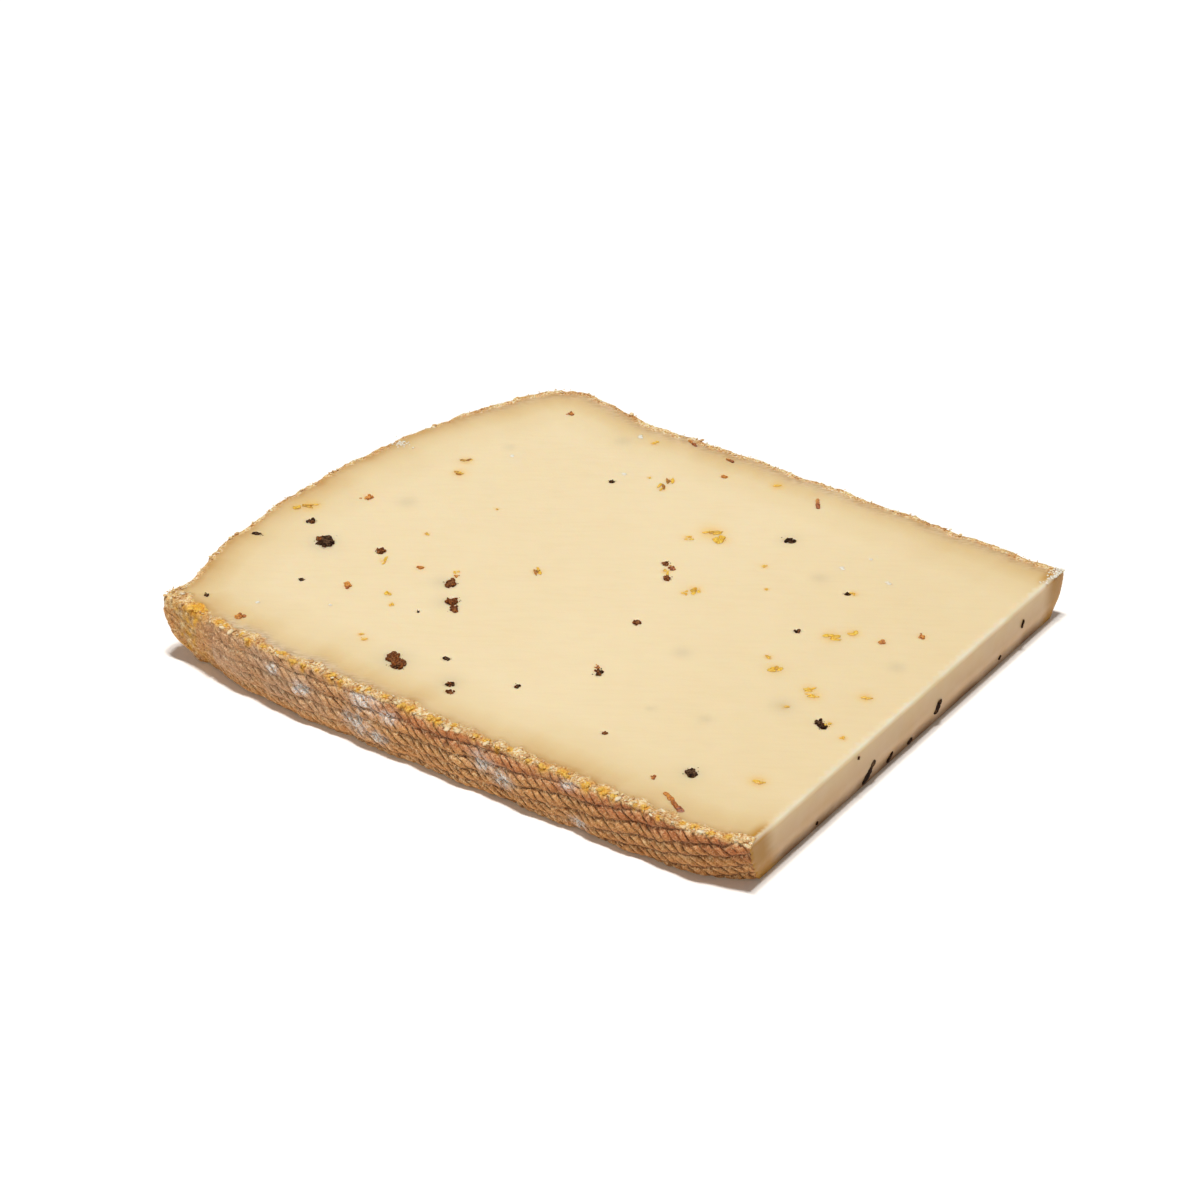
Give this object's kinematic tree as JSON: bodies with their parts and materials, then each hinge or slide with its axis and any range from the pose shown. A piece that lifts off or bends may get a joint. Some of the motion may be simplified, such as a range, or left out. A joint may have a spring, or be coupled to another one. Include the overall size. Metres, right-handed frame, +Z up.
{
  "type": "cheese wedge",
  "caption": "Slab-like wedge of hard mountain cheese with cracked pepper and chilli, cloth-marked orange-brown rind on its sides, lying on a cut face.",
  "frame": {"origin": "middle of the footprint's bounding box, on the flat cut face it lies on", "axes": "+X from the wheel's outer rim to the inner cut, +Y across the wheel's height from the front rind to the back rind, +Z up"},
  "size_m": [0.135, 0.1124, 0.0131],
  "materials": {
    "paste": "pale cream, smooth wire-cut cheese, faintly waxy, tan under the rind",
    "rind": "dry orange-brown washed rind with a cloth imprint and pale bloom",
    "spice": "cracked black pepper, chilli flakes and yellow seeds"
  },
  "bodies": {
    "root": {"cheese_wedge": "paste"}
  },
  "joints": []
}
